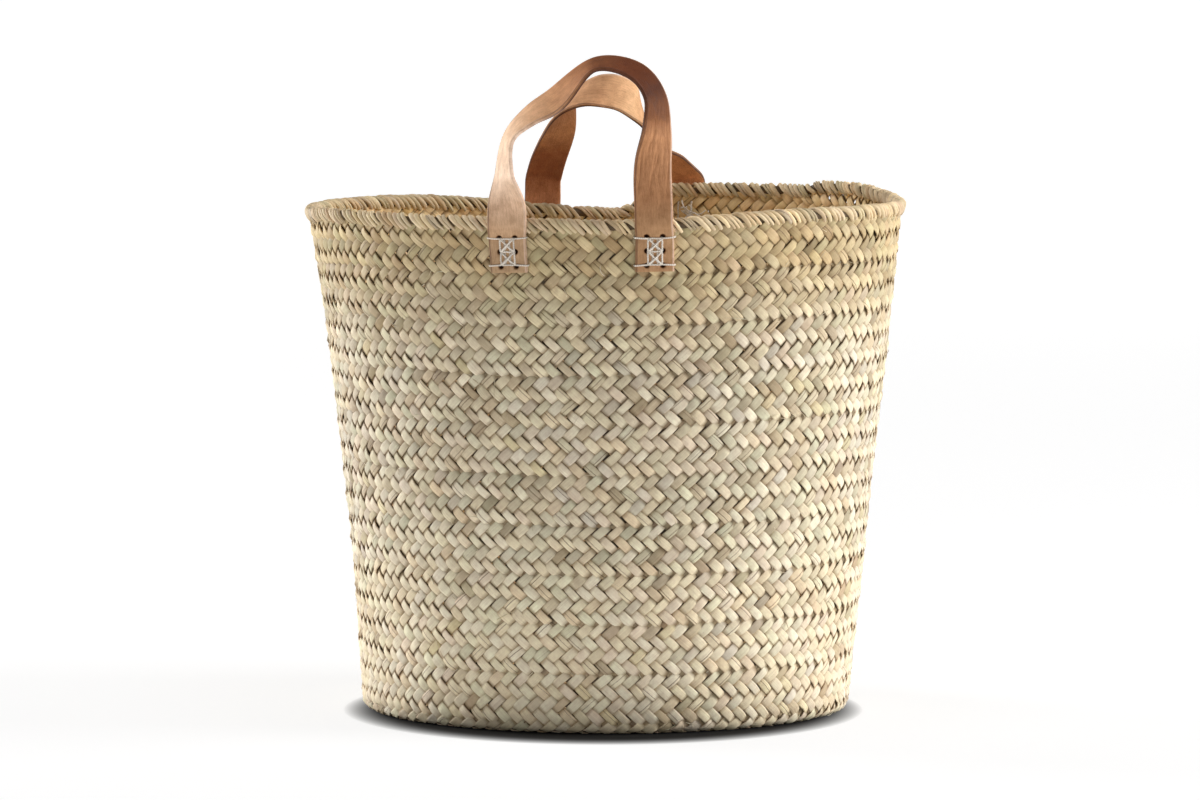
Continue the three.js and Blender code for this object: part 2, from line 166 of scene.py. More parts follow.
def follow(angle, level):
    return level + rim_wave(angle) * np.clip(level / TOP_ALONG, 0, 1) ** 2


def upper_level(winding):
    return TOP_ALONG + STRIP_WIDTH * climb(winding)


def lower_level(winding):
    return upper_level(winding - TURN)


def top_level(winding):
    """The height of the plait's top edge, which tapers down at the strip's end."""
    cut = np.minimum(upper_level(winding), TOP_ALONG)
    end = lower_level(np.asarray(HALF)) + STRIP_END_HEIGHT
    share = np.clip((winding - TAPER_START) / (HALF - TAPER_START), 0, 1)
    return cut + (end - cut) * share


# Slow unevenness of the handwork: rows that wander and a wall that isn't quite smooth
WAVES = [
    (*random.integers(2, 9, 1), random.uniform(0.008, 0.05), random.uniform(0, TURN), random.uniform(0.5, 1))
    for _ in range(9)
]


def unevenness(winding, level, first):
    total = 0
    for turns, rate, phase, size in WAVES[first:first + 4]:
        total = total + size * np.sin(turns * winding + rate * level + phase)
    return total / 2


WANDER_UP, WANDER_OUT = 0.75, 0.55


def surface(winding, level, out):
    """A point of the plait. out is measured from the middle of its thickness."""
    on_wall = smooth(level, -5, 40)
    level = follow(winding, level) + WANDER_UP * on_wall * unevenness(winding, level, 0)
    wander = WANDER_OUT * on_wall * unevenness(winding, level, 4)
    return place(winding, level, PLAIT_THICKNESS / 2 - out - wander)


def run_lengths(path):
    """How far along a path each of its points lies."""
    return np.concatenate([[0], np.cumsum(np.linalg.norm(np.diff(path, axis=0), axis=1))])


def interp_rows(at, known, rows):
    """What each column of rows comes to at new places."""
    return np.stack([np.interp(at, known, column) for column in rows.T], -1)


# Meshes
def add_object(name, data):
    made = bpy.data.objects.new(name, data)
    bpy.context.scene.collection.objects.link(made)
    return made


def make_mesh(name, points, faces):
    """points is (n, 3) in millimetres, and faces a list of index arrays, each (faces, corners)."""
    mesh = bpy.data.meshes.new(name)
    mesh.vertices.add(len(points))
    mesh.vertices.foreach_set("co", (points * MM).astype(np.float32).ravel())
    corners = np.concatenate([f.ravel() for f in faces])
    sizes = np.concatenate([np.full(len(f), f.shape[1]) for f in faces])
    mesh.loops.add(len(corners))
    mesh.loops.foreach_set("vertex_index", corners.astype(np.int32))
    mesh.polygons.add(len(sizes))
    mesh.polygons.foreach_set("loop_start", (np.cumsum(sizes) - sizes).astype(np.int32))
    mesh.polygons.foreach_set("loop_total", sizes.astype(np.int32))
    mesh.polygons.foreach_set("use_smooth", np.ones(len(sizes), bool))
    mesh.update(calc_edges=True)
    mesh.validate()
    return add_object(name, mesh)


def ring_quads(at):
    """The faces between rings of vertices, whose numbers are the rows of at."""
    around = np.roll(at, -1, 1)
    return np.stack([at[:-1], around[:-1], around[1:], at[1:]], -1).reshape(-1, 4)


def tag(piece, name, kind, values):
    """Gives each vertex a value that the materials read. Colours are opaque."""
    if kind == "FLOAT_COLOR":
        values = np.concatenate([values, np.ones((*values.shape[:-1], 1))], -1)
    layer = piece.data.attributes.new(name, kind, "POINT")
    field = {"FLOAT": "value", "FLOAT_VECTOR": "vector", "FLOAT_COLOR": "color"}[kind]
    layer.data.foreach_set(field, np.ascontiguousarray(values, np.float32).ravel())


# The map's cells, one for each rod
CELL_COLUMNS, CAP_RADIUS = 8, 0.002


def rods_to_mesh(name, rods, tints, fibres):
    """rods is a list of (stations, sides, 3) arrays, each made into a closed rod."""
    rows = math.ceil(len(rods) / CELL_COLUMNS)
    points, quads, caps, uv_quads, uv_caps = [], [], {}, [], {}
    start = 0
    for number, rod in enumerate(rods):
        count, sides = rod.shape[:2]
        points.append(rod.reshape(-1, 3))
        at = start + np.arange(count * sides).reshape(count, sides)
        quads.append(ring_quads(at))
        row, column = divmod(number, CELL_COLUMNS)
        u = (column + 0.04 + 0.92 * np.arange(count) / (count - 1)) / CELL_COLUMNS
        v = (row + 0.06 + 0.88 * np.arange(sides + 1) / sides) / rows
        grid = np.stack(np.meshgrid(u, v, indexing="ij"), -1)
        uv_quads.append(np.stack([
            grid[:-1, :-1], grid[:-1, 1:], grid[1:, 1:], grid[1:, :-1],
        ], 2).reshape(-1, 4, 2))
        turns = TURN * np.arange(sides) / sides
        disc = CAP_RADIUS * np.stack([np.cos(turns), np.sin(turns)], -1) / CELL_COLUMNS
        for cap, base in ((at[0][::-1], grid[0, 0]), (at[-1], grid[-1, 0])):
            caps.setdefault(sides, []).append(cap)
            uv_caps.setdefault(sides, []).append(base + disc)
        start += count * sides
    faces = [np.concatenate(quads), *map(np.array, caps.values())]
    piece = make_mesh(name, np.concatenate(points), faces)
    corners = [np.concatenate(uv_quads), *map(np.array, uv_caps.values())]
    layer = piece.data.uv_layers.new(name="OFBake", do_init=False)
    uv = np.concatenate([c.reshape(-1, 2) for c in corners])
    layer.uv.foreach_set("vector", uv.astype(np.float32).ravel())
    tag(piece, "tint", "FLOAT_COLOR", np.concatenate([t.reshape(-1, 3) for t in tints]))
    tag(piece, "fibre", "FLOAT_VECTOR", np.concatenate([f.reshape(-1, 3) for f in fibres]))
    return piece


def tube(path, radius, sides):
    """A round rod along a path of (n, 3) points. radius may be one value or one for each point."""
    path = np.asarray(path, float)
    along = unit(np.gradient(path, axis=0))
    radius = np.broadcast_to(radius, len(path))
    guide = np.array([0.0, 0, 1]) if abs(along[0][2]) < 0.9 else np.array([1.0, 0, 0])
    turns = TURN * np.arange(sides) / sides
    rings = []
    side = unit(np.cross(along[0], guide))
    for point, way, size in zip(path, along, radius):
        side = unit(side - way * (side @ way))
        other = np.cross(way, side)
        rings.append(point + size * (np.cos(turns)[:, None] * side + np.sin(turns)[:, None] * other))
    return np.array(rings)


def linear(*colour):
    """A colour as it looks on screen, or a row of them, turned into light."""
    value = np.array(colour) / 255
    return np.where(value <= 0.04045, value / 12.92, ((value + 0.055) / 1.055) ** 2.4)


# Colours of dried palm leaf: straw, cream, grey-green, tan, pinkish beige, grey, olive and browned strands
PALM = linear(
    (224, 213, 184), (236, 229, 208), (210, 209, 182), (212, 193, 162),
    (222, 207, 188), (214, 208, 196), (204, 192, 146), (180, 148, 112),
)
PALM_SHARE = np.array([0.34, 0.23, 0.17, 0.09, 0.10, 0.05, 0.015, 0.005])
PALM_WARMTH = np.array([1.0, 0.965, 0.91])
COMMON_SHARE = 0.26
MOST_PALE, FAMILY_PAINTED_LIGHT, UNDER_PAINTED_SHADE = 0.92, 0.07, 0.84
DIVE_SHADE_AND_BROWNING = np.array([0.36, 0.45, 0.55])
# The palm is coloured darker and browner towards the rim, and painted light makes it paler low on the wall
# and lighter and warmer inside
RIM_BROWNING, RIM_HEIGHTS = np.array([0.2, 0.28, 0.44]), (250, 345)
LOW_PAINTED_LIGHT, LOW_DEPTHS = 0.32, (-200, -10)
INSIDE_PAINTED_LIGHT = np.array([1.62, 1.52, 1.42])


def palm_tints(count):
    """Each tint is a mix of two of the colours and of what the palm comes to as a whole."""
    first = PALM[random.choice(len(PALM), count, p=PALM_SHARE)]
    second = PALM[random.choice(len(PALM), count, p=PALM_SHARE)]
    share = random.uniform(0.25, 0.7, (count, 1))
    mixed = first * share + second * (1 - COMMON_SHARE - share) + PALM_SHARE @ PALM * COMMON_SHARE
    return mixed * PALM_WARMTH * random.uniform(0.9, 1.14, (count, 1))


# The plait
WINDING_START = HALF - TURN_COUNT * TURN
windings = np.linspace(WINDING_START, HALF, TURN_COUNT * 360 + 1)
middle_path = surface(windings, upper_level(windings) - STRIP_WIDTH / 2, 0)
lengths = run_lengths(middle_path)


def at_length(length):
    return np.interp(length, lengths, windings)


def strand_rise(steps, family):
    """How far a strand stands out of the plait's middle, from -1 to 1, by the crossings passed."""
    wave = np.clip(1.2 * np.sin(math.pi * steps / 2), -1, 1) * family
    past_edge = (steps < 0) | (steps > ROWS)
    return np.where(past_edge, np.where(wave > 0, -0.3 * wave, wave), wave)


def strip_level(winding, steps):
    return upper_level(winding) - STRIP_WIDTH * steps / ROWS


def on_spiral(length, steps, out):
    winding = at_length(length)
    return surface(winding, strip_level(winding, steps), out)


def on_spiral_kept(length, steps):
    winding = at_length(length)
    below_top = strip_level(winding, steps) < top_level(winding) + 1.2
    return below_top & (length > 0) & (length < lengths[-1])


# The piece at the start of the strip fills the space inside the innermost turn
pad_windings = np.linspace(WINDING_START, WINDING_START + TURN, 73)
pad_outline = place(pad_windings, lower_level(pad_windings), PLAIT_THICKNESS / 2)[:, :2]
PAD_MIDDLE, PAD_TUCK = np.array([8.0, 5.0]), 0.94


def within(x, y, outline):
    """Whether points lie inside an outline, by the sides that a line from each crosses."""
    found = np.zeros(x.shape, bool)
    for (ax, ay), (bx, by) in zip(outline, np.roll(outline, -1, 0)):
        if ay != by:
            found ^= ((ay > y) != (by > y)) & (x < ax + (y - ay) * (bx - ax) / (by - ay))
    return found


def pad_across(steps):
    return PAD_SHIFT + (steps - ROWS / 2) * STRIP_WIDTH / ROWS


def on_pad(length, steps, out):
    return np.stack(np.broadcast_arrays(length, pad_across(steps), PLAIT_THICKNESS / 2 - out), -1)


def on_pad_kept(length, steps):
    spots = PAD_MIDDLE + (np.stack([length, pad_across(steps)], -1) - PAD_MIDDLE) * PAD_TUCK
    return within(spots[..., 0], spots[..., 1], pad_outline)


def spacing(at, length, steps):
    """How far points a millimetre apart along the strip's middle lie from each other here."""
    return np.linalg.norm(at(length + 0.5, steps, 0) - at(length - 0.5, steps, 0), axis=-1)


def weave(at, first, last, kept):
    """Rods, tints and fibre coordinates of the strands between two lengths along the strip."""
    rods, tints, fibres = [], [], []
    for family in (1, -1):
        offset = 0 if family > 0 else STRAND_PITCH / 2
        starts = np.arange(*(math.ceil((end - offset) / STRAND_PITCH) for end in (first, last)))
        count = len(starts)
        centre = starts * STRAND_PITCH + offset + random.uniform(-LAY_JITTER, LAY_JITTER, count)
        lean = family * (STRAND_PITCH / 2) * random.normal(1, SLANT_JITTER, count)
        low, high = np.full(count, STRAND_STEPS[0]), np.full(count, STRAND_STEPS[-1])
        if kept:
            # A strand runs from the first place that is kept to the last, and goes if there is none
            fine = np.linspace(STRAND_STEPS[0], STRAND_STEPS[-1], 90)
            good = kept(centre[:, None] + lean[:, None] * (ROWS / 2 - fine), fine + 0 * centre[:, None])
            low = np.where(good.any(1), fine[good.argmax(1)], 9.0)
            high = np.where(good.any(1), fine[len(fine) - 1 - good[:, ::-1].argmax(1)], 0.0)
        keep = high - low > 0.5
        centre, lean, low, high = (value[keep, None] for value in (centre, lean, low, high))
        count = len(centre)
        share = (STRAND_STEPS - STRAND_STEPS[0]) / (STRAND_STEPS[-1] - STRAND_STEPS[0])
        steps = low + (high - low) * share
        sway = random.normal(0, SWAY, (count, 1)) * np.sin(steps * random.uniform(0.5, 1.1, (count, 1)))
        length = centre + lean * (ROWS / 2 - steps) + sway
        floats = np.clip(np.floor(steps / 2), 0, 3).astype(int)
        float_jitter = random.normal(0, 1, (count, 4, 4))
        jitter = np.take_along_axis(float_jitter, floats[:, :, None].repeat(4, 2), 1)
        arch = np.abs(np.sin(math.pi * steps / 2))
        rise = strand_rise(steps, family)
        out = FLOAT_RISE * rise + RISE_JITTER * jitter[..., 0] * rise - FAMILY_PROUD * family * arch
        path = at(length, steps, out)
        normal = unit(np.cross(
            at(length + 0.5, steps, 0) - at(length - 0.5, steps, 0),
            at(length, steps - 0.1, 0) - at(length, steps + 0.1, 0),
        ))
        way = unit(np.gradient(path, axis=1))
        side = unit(np.cross(normal, way))
        up = np.cross(way, side)
        # Strands spread where the strip is stretched round the outside of a bend
        unstretched = np.maximum(spacing(at, length, steps * 0 + ROWS / 2), 1e-3)
        stretch = np.clip(spacing(at, length, steps) / unstretched, 0.45, 1.5)
        plain = random.normal(1, WIDTH_JITTER, (count, 1)) * (1 + 0.035 * jitter[..., 1])
        half = STRAND_HALF_WIDTH * np.clip(plain, 0.78, 1.13) * stretch * (0.94 + 0.06 * arch ** 0.7)
        thick = STRAND_HALF_THICKNESS * (0.8 + 0.3 * arch) * random.normal(1, THICKNESS_JITTER, (count, 1))
        tilt = STRAND_TILT * jitter[..., 2] * arch
        x, y = SECTION.T
        wide = half[..., None] * x
        tall = thick[..., None] * y + wide * tilt[..., None]
        rod = path[:, :, None] + side[:, :, None] * wide[..., None] + up[:, :, None] * tall[..., None]
        rod[..., 2] = np.maximum(rod[..., 2], FLOOR_CLEARANCE)
        # Painted light: one family of strands is lighter and the other darker, as light from above falls on
        # their rows; each float's own tone also varies a little
        shade = (1 + 0.07 * jitter[..., 3]) * (1 - FAMILY_PAINTED_LIGHT * family)
        # Painted shade where a strand lies under others, on the side that they cover
        covered = smooth(-rise[..., None] * np.sign(y), -0.35, 0.6) * np.abs(y) ** 0.3
        tint = palm_tints(count)[:, None, None] * shade[:, :, None, None] * (1 - UNDER_PAINTED_SHADE * covered)[..., None]
        # Painted shade darkens and browns the ends that dive under other strands, and now and then a whole
        # float is browner in its own colour
        facing = np.where(y < 0, -1.0, 1.0)
        dive_shade_and_browned = smooth(-rise[..., None] * facing, -0.6, 0.1) + 0.6 * (jitter[..., 3] < -1.6)[..., None]
        tint *= 1 - DIVE_SHADE_AND_BROWNING * np.minimum(dive_shade_and_browned, 1)[..., None]
        height = path[..., 2, None, None]
        tint *= 1 - RIM_BROWNING * smooth(height, *RIM_HEIGHTS)
        # Painted light: paler low on the wall, and lighter and warmer on the faces turned inside
        tint *= 1 + LOW_PAINTED_LIGHT * smooth(-height, *LOW_DEPTHS)
        tint *= np.where((y < 0)[:, None], INSIDE_PAINTED_LIGHT, 1.0)
        tint *= np.minimum(1, MOST_PALE / tint.max(-1, keepdims=True))
        fibre = np.empty(rod.shape)
        fibre[..., 0] = (steps * STRIP_WIDTH / ROWS / math.sin(STRAND_SLANT))[:, :, None]
        fibre[..., 1] = x
        fibre[..., 2] = random.uniform(0, 100, (count, 1, 1))
        rods.extend(rod)
        tints.extend(tint)
        fibres.extend(fibre)
    return rods, tints, fibres


# Materials, all from nodes
class Shader:
    """A short way to write a node material."""

    def __init__(self, name, **settings):
        self.material = bpy.data.materials.new(name)
        self.material.use_nodes = True
        self.nodes = self.material.node_tree.nodes
        self.links = self.material.node_tree.links
        self.nodes.clear()
        self.base = self.nodes.new("ShaderNodeBsdfPrincipled")
        output = self.nodes.new("ShaderNodeOutputMaterial")
        self.links.new(self.base.outputs[0], output.inputs[0])
        for socket, value in settings.items():
            self.base.inputs[socket.replace("_", " ")].default_value = value

    def add(self, kind, inputs=(), **settings):
        made = self.nodes.new(kind)
        for key, value in settings.items():
            setattr(made, key, value)
        for socket, value in dict(inputs).items():
            if isinstance(value, bpy.types.NodeSocket):
                self.links.new(value, made.inputs[socket])
            else:
                made.inputs[socket].default_value = value
        return made

    def math(self, operation, *values):
        return self.add("ShaderNodeMath", enumerate(values), operation=operation).outputs[0]

    def attribute(self, name, output="Vector"):
        return self.add("ShaderNodeAttribute", attribute_name=name).outputs[output]

    def split(self, vector):
        return self.add("ShaderNodeSeparateXYZ", {0: vector}).outputs

    def join(self, x, y, z):
        return self.add("ShaderNodeCombineXYZ", enumerate((x, y, z))).outputs[0]

    def product(self, first, *others):
        for other in others:
            first = self.math("MULTIPLY", first, other)
        return first

    def distance(self, *sides):
        return self.math("SQRT", self.math("ADD", *(self.product(side, side) for side in sides)))

    def stretched(self, vector, *factors):
        """The vector's three values, each times a factor of its own."""
        return self.join(*map(self.product, vector, factors))

    def noise(self, vector, scale, detail, rough):
        inputs = {"Vector": vector, "Scale": scale, "Detail": detail, "Roughness": rough}
        return self.add("ShaderNodeTexNoise", inputs).outputs[0]

    def remap(self, value, low, high, to_low=0.0, to_high=1.0):
        inputs = enumerate((value, low, high, to_low, to_high))
        return self.add("ShaderNodeMapRange", inputs).outputs[0]

    def vary(self, noise, low, high):
        """Two values, as far apart as most of a noise goes."""
        return self.remap(noise, 0.3, 0.7, low, high)

    def mix(self, share, first, second, blend="MIX"):
        inputs = {0: share, 6: first, 7: second}
        return self.add("ShaderNodeMix", inputs, data_type="RGBA", blend_type=blend).outputs[2]

    def tinted(self, light):
        return self.mix(1.0, self.attribute("tint", "Color"), light, "MULTIPLY")

    def finish(self, color, rough, height, distance, strength):
        bump = self.add("ShaderNodeBump", {"Height": height, "Distance": distance, "Strength": strength})
        for value, socket in ((color, "Base Color"), (rough, "Roughness"), (bump.outputs[0], "Normal")):
            self.links.new(value, self.base.inputs[socket])
        return self.material


def palm_material(name, line_scale, splits):
    """Dried palm leaf: fine lines along the strand, dull blotches, edges darkened by painted shade and dirt,
    and a few splits.
    """
    s = Shader(name, Specular_IOR_Level=0.4)
    fibre = s.split(s.attribute("fibre"))
    _, across, strand = fibre
    lines = s.noise(s.stretched(fibre, 0.035, line_scale, 7.3), 1.0, 4.0, 0.65)
    blotch = s.noise(s.stretched(fibre, 0.16, 0.5, 3.1), 1.0, 3.0, 0.6)
    seed = s.add("ShaderNodeTexWhiteNoise", {"W": strand}, noise_dimensions="1D").outputs[0]
    has_split = s.math("LESS_THAN", seed, splits)
    split_at = s.product(s.math("SUBTRACT", s.math("FRACT", s.product(seed, 37.0)), 0.5), 1.1)
    bend = s.product(s.math("SUBTRACT", blotch, 0.5), 0.25)
    off = s.math("ABSOLUTE", s.math("SUBTRACT", s.math("ADD", across, bend), split_at))
    crack = s.product(s.remap(off, 0.02, 0.1, 1.0, 0.0), has_split)
    # The strand's edges darken: painted shade and dirt between the strands
    tone = s.product(
        s.remap(lines, 0.25, 0.75, 0.88, 1.08), s.vary(blotch, 0.88, 1.08),
        s.remap(s.math("ABSOLUTE", across), 0.84, 1.0, 1.0, 0.7), s.remap(crack, 0.0, 1.0, 1.0, 0.42),
    )
    brown = s.join(tone, s.product(tone, tone), s.math("POWER", tone, 2.4))
    color = s.tinted(s.mix(0.35, s.join(tone, tone, tone), brown))
    height = s.math("SUBTRACT", lines, s.product(crack, 1.4))
    return s.finish(color, s.vary(blotch, 0.5, 0.72), height, 0.0005, 0.7)


palm = palm_material("palm_plait", 5.0, 0.13)
palm_edge = palm_material("palm_binding", 3.0, 0.1)


def dress(piece, body, material, slot, *nodes):
    piece.data.materials.append(material)
    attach(piece, body)
    if nodes:
        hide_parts(*nodes)


for turn in range(TURN_COUNT):
    is_wall = turn < WALL_TURN_COUNT
    number = (WALL_TURN_COUNT if is_wall else TURN_COUNT) - turn
    node = f"{'wall' if is_wall else 'base'}_strip_turn_{number:02d}"
    nodes = [f"{node}_{length}" for length in HEEL_LENGTHS] if turn == WALL_TURN_COUNT else [node]
    first, last = np.interp([-HALF - turn * TURN, HALF - turn * TURN], windings, lengths)
    kept = on_spiral_kept if turn <= 1 or turn == TURN_COUNT - 1 else None
    parts = weave(on_spiral, first, last + (20 if turn == 0 else 0), kept)
    dress(rods_to_mesh(f"woven_{node}", *parts), "basket", palm, "palm_plait", *nodes)
parts = weave(on_pad, -PAD_HALF_LENGTH, PAD_HALF_LENGTH, on_pad_kept)
dress(rods_to_mesh("woven_base_start", *parts), "basket", palm, "palm_plait", "base_strip_start")


def lay(name, rods, tints, material, slot, *nodes):
    """A piece made of rods that are one colour each."""
    made, fibres = [], []
    for rod, tint in zip(rods, tints):
        count, sides = rod.shape[:2]
        made.append(np.broadcast_to(tint, (count, sides, 3)))
        fibre = np.empty((count, sides, 3))
        fibre[..., 0] = run_lengths(rod.mean(1))[:, None]
        fibre[..., 1] = np.abs(2 * np.arange(sides) / sides - 1) * 1.4 - 0.7
        fibre[..., 2] = random.uniform(0, 100)
        fibres.append(fibre)
    dress(rods_to_mesh(name, rods, made, fibres), "basket", material, slot, *nodes)


# The cord that sews the turns together, a little way in from both faces
CORD_RADIUS, CORD_STEPS = 0.55, 220
wiggle = 0.35 * np.sin(np.arange(CORD_STEPS) * 1.3)
cord_rods = []
for turn in range(TURN_COUNT):
    w = np.linspace(-HALF - turn * TURN, HALF - turn * TURN, CORD_STEPS)
    cord_rods.append(tube(surface(w, lower_level(w), wiggle - 0.2), CORD_RADIUS, 6))
cord_tints = [linear(178, 164, 132)] * len(cord_rods)
lay("seam_cord_lay", cord_rods, cord_tints, palm_edge, "palm_cord", "seam_cord")

# The rim: a core under strands that are laid over the edge side by side, slanting, in ones, twos and threes
WRAP_PITCH, WRAP_SLANT = 5.3, 9.0
RIM_TONE = np.array([1.02, 0.92, 0.8])
EDGING_END, EDGING_FADE, EDGING_LAP = math.radians(136), math.radians(100), 3.0
rim_windings = np.linspace(-HALF, HALF, 721)


def rim_at(winding, inward, rise):
    """A point about the rim. rise is measured from the binding's top."""
    ended = smooth(winding, EDGING_END, EDGING_END + 0.05)
    lap = smooth(winding, EDGING_FADE, EDGING_FADE + 0.5) * (1 - ended)
    top = top_level(winding) + GAP + BINDING_ROOF + EDGING_LAP * lap
    return surface(winding, top + rise, PLAIT_THICKNESS / 2 - inward)


rim_lengths = run_lengths(rim_at(rim_windings, 2.0, 0.0))
# A strand's way over the edge, as (inward, rise, share of the slant)
WRAP_ROUTE = np.array([
    (0.3, -9.2, 1.0), (-1.0, -7.4, 0.82), (-1.45, -4.8, 0.55), (-1.1, -2.4, 0.28), (0.2, -1.1, 0.08),
    (2.0, -0.7, -0.1), (3.8, -1.1, -0.28), (5.2, -2.4, -0.48), (5.5, -4.8, -0.75), (5.0, -7.4, -1.02),
    (3.6, -9.2, -1.2),
])
WRAP_COUNTS, WRAP_COUNT_SHARES = [1, 2, 3], [0.6, 0.34, 0.06]
WRAP_RADII = {1: 1.8, 2: 1.4, 3: 1.05}
WRAP_STEPS, MOST_DROP = 19, 9


def wraps():
    rods, tints = [], []
    at = 0.0
    inward, rise, onward = WRAP_ROUTE.T
    spots = len(WRAP_ROUTE)
    taper = 0.62 + 0.38 * np.sin(np.pi * np.linspace(0.02, 0.98, WRAP_STEPS)) ** 0.4
    while at < rim_lengths[-1]:
        number = int(random.choice(WRAP_COUNTS, p=WRAP_COUNT_SHARES))
        radius = WRAP_RADII[number] * random.normal(1, 0.08)
        tint = palm_tints(1)[0] * RIM_TONE * random.uniform(0.82, 1.06)
        slant = WRAP_SLANT * random.normal(1, 0.09)
        for k in range(number):
            offset = (k - (number - 1) / 2) * radius * 2.7
            reach = random.normal(1, 0.06)
            length = at + offset + slant * onward + random.normal(0, 0.12, spots)
            w = np.interp(length % rim_lengths[-1], rim_lengths, rim_windings)
            jog = random.normal(0, 0.12, (2, spots))
            path = rim_at(w, inward + jog[0], rise * reach + 0.35 * (k == 1) + jog[1])
            # No strand is laid over the step at the strip's end
            if np.abs(np.diff(path[:, 2])).max() > MOST_DROP:
                continue
            path = interp_rows(np.linspace(0, spots - 1, WRAP_STEPS), np.arange(spots), path)
            path[1:-1] = (path[:-2] + 2 * path[1:-1] + path[2:]) / 4
            rods.append(tube(path, radius * taper, 7))
            tints.append(tint * random.uniform(0.9, 1.08))
        at += (WRAP_PITCH + radius * 2.3 * (number - 1)) * random.normal(1, 0.1)
    return rods, tints


wrap_rods, wrap_tints = wraps()
core_turns = TURN * np.arange(12) / 12
core_sides = np.stack([2.0 + 2.9 * np.cos(core_turns), -4.6 + 3.1 * np.sin(core_turns)], -1)
wrap_rods.append(np.stack([rim_at(rim_windings[::3], inward, rise) for inward, rise in core_sides], 1))
# The core is dark brown, a painted shade that shows in the gaps between the wraps
wrap_tints.append(linear(92, 74, 50))
lay("rim_edging", wrap_rods, wrap_tints, palm_edge, "palm_binding", "rim_binding")

# Loose fibres and frayed ends that stand out of the plait
FRAY_COUNT, FRAY_STEPS, FRAY_MARGIN, MEAN_RADIUS = 460, 8, 8, 190
fray_rods, fray_tints = [], []
for number in range(FRAY_COUNT):
    w = random.uniform(-HALF, HALF)
    turn = random.integers(0, WALL_TURN_COUNT + 1)
    # Two in three stand out of a seam
    above_seam = random.normal(0, 1.2) if number % 3 else random.uniform(0, STRIP_WIDTH)
    level = lower_level(np.asarray(w - turn * TURN)) + above_seam
    if not -FRAY_MARGIN < level < TOP_ALONG - FRAY_MARGIN:
        continue
    heading = random.uniform(0, TURN)
    reach = random.uniform(3, 11) * (1 if number % 7 else 1.8)
    curl = random.normal(0, 0.9)
    t = np.linspace(0, 1, FRAY_STEPS)
    turns = heading + curl * t
    across = np.cumsum(np.cos(turns)) * reach / FRAY_STEPS
    upward = np.cumsum(np.sin(turns)) * reach / FRAY_STEPS
    lift = 1.2 + random.uniform(0.3, 2.6) * np.sin(t * random.uniform(1.2, 2.4))
    path = surface(w + across / MEAN_RADIUS, level + upward, lift)
    path[:, 2] = np.maximum(path[:, 2], 0.5)
    fray_rods.append(tube(path, random.uniform(0.16, 0.42) * (1 - 0.7 * t), 4))
    fray_tints.append(palm_tints(1)[0] * random.uniform(0.8, 1.15))
lay("loose_fibres", fray_rods, fray_tints, palm_edge, "palm_plait")


# The straps, on the same centre lines as the solids
def curve_through(points, count):
    """A centripetal Catmull-Rom curve through the points, at evenly spaced values."""
    points = np.asarray(points, float)
    ends = np.concatenate([[2 * points[0] - points[1]], points, [2 * points[-1] - points[-2]]])
    made = []
    for t in np.linspace(0, len(points) - 1, count):
        k = min(int(t), len(points) - 2)
        a, b, c, d = ends[k:k + 4]
        gaps = [max(np.linalg.norm(q - p), 1e-8) ** 0.5 for p, q in ((a, b), (b, c), (c, d))]
        first = ((b - a) / gaps[0] - (c - a) / (gaps[0] + gaps[1]) + (c - b) / gaps[1]) * gaps[1]
        second = ((c - b) / gaps[1] - (d - b) / (gaps[1] + gaps[2]) + (d - c) / gaps[2]) * gaps[1]
        u = t - k
        square, cube = 3 * (c - b) - 2 * first - second, 2 * (b - c) + first + second
        made.append(b + first * u + square * u ** 2 + cube * u ** 3)
    return np.array(made)


def angle_at(x, side, level):
    width, _, shift = half_sizes(HEEL_RADIUS + level)
    angle = math.asin((x - shift) / width)
    return angle if side < 0 else math.copysign(HALF - abs(angle), angle)


def binding_top(x, side):
    angle = angle_at(x, side, TOP_ALONG)
    return float(place(angle, follow(angle, top_level(angle) + GAP + BINDING_ROOF), 0)[2])


def flex_axis(handle):
    side, half = handle["side"], STRAP_WIDTH / 2
    edges = [x + step for x in (handle["left"], handle["right"]) for step in (-half, 0, half)]
    reach = [abs(place(angle_at(x, side, TOP_ALONG), TOP_ALONG, -BINDING_OVERHANG)[1]) for x in edges]
    top = max(binding_top(x, side) for x in edges)
    return np.array([0, side * (max(reach) + GAP + STRAP_THICKNESS), top + FLEX_ROOM + STRAP_THICKNESS])


def sewn_frame(handle, x):
    side = handle["side"]
    angle = angle_at(x, side, TOP_ALONG)
    level = follow(angle, top_level(angle) + GAP + BINDING_ROOF) - STITCH_DROP
    angle = angle_at(x, side, level)
    origin = place(angle, level, 0)
    down = unit(place(angle, level - STITCH_PITCH, 0) - origin)
    nudge = math.radians(1)
    onward = place(angle + nudge, level, 0) - place(angle - nudge, level, 0)
    out = unit(np.cross(down, onward))
    across = np.cross(out, down)
    out = out if out[1] * side > 0 else -out
    across = across if across[0] > 0 else -across
    return origin, across, down, out


def in_frame(spot, u, v, n):
    origin, across, down, out = spot
    return origin + across * u + down * v + out * n


OUTER_FACE = GAP + STRAP_THICKNESS
SEWN_END = 2 * STITCH_PITCH + STRAP_MARGIN
SEWN_TOP = -0.9
SEWN_LENGTH = SEWN_END - SEWN_TOP
# How far up and how far out to the flex line the leather has come, as shares
LIFTS = [(0, 0), (0.16, 0.36), (0.34, 0.74), (0.56, 0.96), (0.75, 1), (1, 1)]
COLUMNS = LEFT, RIGHT = -STITCH_COLUMN_GAP / 2, STITCH_COLUMN_GAP / 2
STITCH_ROWS = (0, STITCH_PITCH, 2 * STITCH_PITCH)


